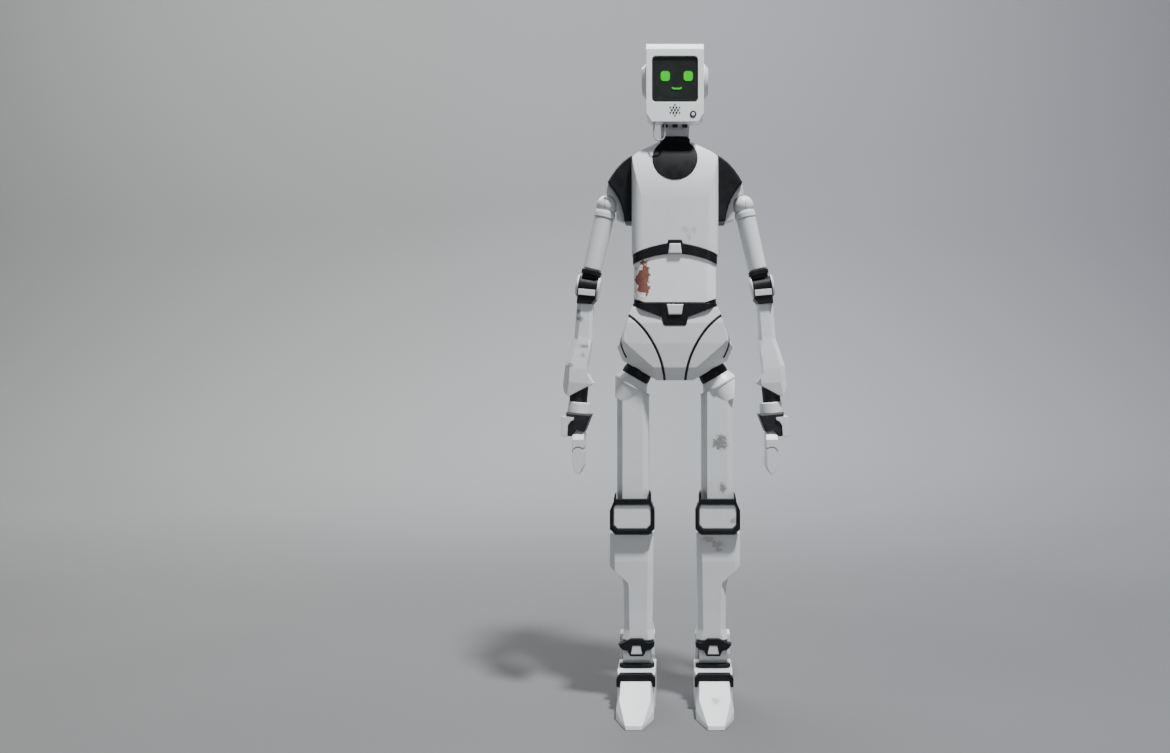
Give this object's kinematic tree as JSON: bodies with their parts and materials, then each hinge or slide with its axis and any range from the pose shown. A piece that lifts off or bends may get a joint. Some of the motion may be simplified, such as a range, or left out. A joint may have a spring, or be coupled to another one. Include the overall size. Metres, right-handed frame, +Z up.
{
  "type": "humanoid robot kit",
  "caption": "Standing humanoid robot kit with a screen face, jointed neck, waist, arms and legs, white shells over dark joint parts, and flat soles to stand on.",
  "frame": {"origin": "on the floor in the middle of the footprint box of the two feet", "axes": "+Z up, -Y towards the robot's front, +X towards the robot's left side"},
  "size_m": [0.2238, 0.1184, 0.6446],
  "materials": {
    "white_shell": "satin, slightly worn",
    "dark_plastic": "matte",
    "grey_plastic": "matte",
    "screen": "polished",
    "display_green": "glowing",
    "dark_rubber": "matte",
    "cable_sheath": "satin"
  },
  "bodies": {
    "pelvis": {"pelvis_shell": "white_shell", "pelvis_trim": "dark_plastic", "belt": "dark_plastic", "belt_buckle": "white_shell"},
    "torso": {"chest_front_shell": "white_shell", "chest_back_shell": "white_shell", "neck_socket": "dark_plastic", "waist_band": "dark_plastic", "waist_buckle": "white_shell", "belly_plate": "white_shell", "torso_frame": "dark_plastic", "battery_pack": "grey_plastic", "shoulder_gussets": "dark_plastic", "shoulder_pods": "white_shell"},
    "neck": {"neck_column": "grey_plastic"},
    "head": {"face_bezel": "white_shell", "head_housing": "white_shell", "screen_glass": "screen", "face_display": "display_green", "ear_discs": "white_shell", "chin_inserts": "dark_rubber", "head_bumpers": "dark_rubber", "neck_cable": "cable_sheath"},
    "button": {"power_button": "white_shell"},
    "shoulder_left": {"shoulder_ball_left": "white_shell"},
    "arm_left": {"upper_arm_left": "white_shell", "elbow_hub_left": "dark_plastic"},
    "lower_arm_left": {"forearm_collar_left": "dark_plastic", "forearm_left": "white_shell"},
    "hand_left": {"palm_left": "dark_plastic", "wrist_band_left": "white_shell"},
    "finger_set_left": {"fingers_left": "white_shell"},
    "fingertip_set_left": {"fingertips_left": "white_shell"},
    "hip_left": {"hip_joint_left": "dark_plastic"},
    "thigh_left": {"thigh_shell_left": "white_shell"},
    "shin_left": {"knee_brace_left": "dark_plastic", "knee_cap_left": "white_shell", "shin_shell_left": "white_shell", "ankle_brace_left": "dark_plastic"},
    "foot_left": {"foot_body_left": "white_shell", "toe_cap_left": "white_shell", "foot_trim_left": "dark_plastic"},
    "shoulder_right": {"shoulder_ball_right": "white_shell"},
    "arm_right": {"upper_arm_right": "white_shell", "elbow_hub_right": "dark_plastic"},
    "lower_arm_right": {"forearm_collar_right": "dark_plastic", "forearm_right": "white_shell"},
    "hand_right": {"palm_right": "dark_plastic", "wrist_band_right": "white_shell"},
    "finger_set_right": {"fingers_right": "white_shell"},
    "fingertip_set_right": {"fingertips_right": "white_shell"},
    "hip_right": {"hip_joint_right": "dark_plastic"},
    "thigh_right": {"thigh_shell_right": "white_shell"},
    "shin_right": {"knee_brace_right": "dark_plastic", "knee_cap_right": "white_shell", "shin_shell_right": "white_shell", "ankle_brace_right": "dark_plastic"},
    "foot_right": {"foot_body_right": "white_shell", "toe_cap_right": "white_shell", "foot_trim_right": "dark_plastic"}
  },
  "joints": [
    {"name": "waist_yaw", "type": "hinge", "parent": "pelvis", "child": "torso", "pos_m": [0, 0.0282, 0.3915], "axis": [0, 0, 1], "range_deg": [-30, 30]},
    {"name": "head_yaw", "type": "hinge", "parent": "torso", "child": "neck", "pos_m": [0, 0.0282, 0.55], "axis": [0, 0, 1], "range_deg": [-40, 40]},
    {"name": "head_pitch", "type": "hinge", "parent": "neck", "child": "head", "pos_m": [0, 0.0302, 0.588], "axis": [-1, 0, 0], "range_deg": [-2, 12]},
    {"name": "power_button_press", "type": "slide", "parent": "head", "child": "button", "axis": [0, 1, 0], "range_m": [0, 0.0012], "stiffness_N_per_m": 300, "springref_m": -0.0004},
    {"name": "shoulder_pitch_left", "type": "hinge", "parent": "torso", "child": "shoulder_left", "pos_m": [0.068, 0.0282, 0.4905], "axis": [-1, 0, 0], "range_deg": [-35, 90]},
    {"name": "shoulder_roll_left", "type": "hinge", "parent": "shoulder_left", "child": "arm_left", "pos_m": [0.068, 0.0282, 0.4905], "axis": [0, -1, 0], "range_deg": [-2, 70]},
    {"name": "elbow_left", "type": "hinge", "parent": "arm_left", "child": "lower_arm_left", "pos_m": [0.0865, 0.0282, 0.4095], "axis": [-0.9877, 0, -0.1564], "range_deg": [0, 75]},
    {"name": "wrist_left", "type": "hinge", "parent": "lower_arm_left", "child": "hand_left", "pos_m": [0.0964, 0.0282, 0.2985], "axis": [0.0889, 0, -0.996], "range_deg": [-80, 80]},
    {"name": "finger_curl_left", "type": "hinge", "parent": "hand_left", "child": "finger_set_left", "pos_m": [0.0954, 0.0282, 0.261], "axis": [0, 1, 0], "range_deg": [0, 70]},
    {"name": "fingertip_curl_left", "type": "hinge", "parent": "finger_set_left", "child": "fingertip_set_left", "pos_m": [0.0954, 0.0282, 0.2454], "axis": [0, 1, 0], "range_deg": [0, 70]},
    {"name": "hip_pitch_left", "type": "hinge", "parent": "pelvis", "child": "hip_left", "pos_m": [0.0385, 0.0282, 0.322], "axis": [-1, 0, 0], "range_deg": [-20, 25]},
    {"name": "hip_roll_left", "type": "hinge", "parent": "hip_left", "child": "thigh_left", "pos_m": [0.0385, 0.0282, 0.322], "axis": [0, -1, 0], "range_deg": [-2, 12]},
    {"name": "knee_left", "type": "hinge", "parent": "thigh_left", "child": "shin_left", "pos_m": [0.0425, 0.0282, 0.181], "axis": [1, 0, 0], "range_deg": [0, 70]},
    {"name": "ankle_left", "type": "hinge", "parent": "shin_left", "child": "foot_left", "pos_m": [0.0374, 0.0282, 0.046], "axis": [-1, 0, 0], "range_deg": [-20, 15]},
    {"name": "shoulder_pitch_right", "type": "hinge", "parent": "torso", "child": "shoulder_right", "pos_m": [-0.068, 0.0282, 0.4905], "axis": [-1, 0, 0], "range_deg": [-35, 90]},
    {"name": "shoulder_roll_right", "type": "hinge", "parent": "shoulder_right", "child": "arm_right", "pos_m": [-0.068, 0.0282, 0.4905], "axis": [0, 1, 0], "range_deg": [-2, 70]},
    {"name": "elbow_right", "type": "hinge", "parent": "arm_right", "child": "lower_arm_right", "pos_m": [-0.0865, 0.0282, 0.4095], "axis": [-0.9877, 0, 0.1564], "range_deg": [0, 75]},
    {"name": "wrist_right", "type": "hinge", "parent": "lower_arm_right", "child": "hand_right", "pos_m": [-0.0964, 0.0282, 0.2985], "axis": [0.0889, 0, 0.996], "range_deg": [-80, 80]},
    {"name": "finger_curl_right", "type": "hinge", "parent": "hand_right", "child": "finger_set_right", "pos_m": [-0.0954, 0.0282, 0.261], "axis": [0, -1, 0], "range_deg": [0, 70]},
    {"name": "fingertip_curl_right", "type": "hinge", "parent": "finger_set_right", "child": "fingertip_set_right", "pos_m": [-0.0954, 0.0282, 0.2454], "axis": [0, -1, 0], "range_deg": [0, 70]},
    {"name": "hip_pitch_right", "type": "hinge", "parent": "pelvis", "child": "hip_right", "pos_m": [-0.0385, 0.0282, 0.322], "axis": [-1, 0, 0], "range_deg": [-20, 25]},
    {"name": "hip_roll_right", "type": "hinge", "parent": "hip_right", "child": "thigh_right", "pos_m": [-0.0385, 0.0282, 0.322], "axis": [0, 1, 0], "range_deg": [-2, 12]},
    {"name": "knee_right", "type": "hinge", "parent": "thigh_right", "child": "shin_right", "pos_m": [-0.0425, 0.0282, 0.181], "axis": [1, 0, 0], "range_deg": [0, 70]},
    {"name": "ankle_right", "type": "hinge", "parent": "shin_right", "child": "foot_right", "pos_m": [-0.0374, 0.0282, 0.046], "axis": [-1, 0, 0], "range_deg": [-20, 15]}
  ],
  "couplings": [
    {"joint": "fingertip_curl_left", "follows": "finger_curl_left", "ratio": 1},
    {"joint": "fingertip_curl_right", "follows": "finger_curl_right", "ratio": 1}
  ]
}
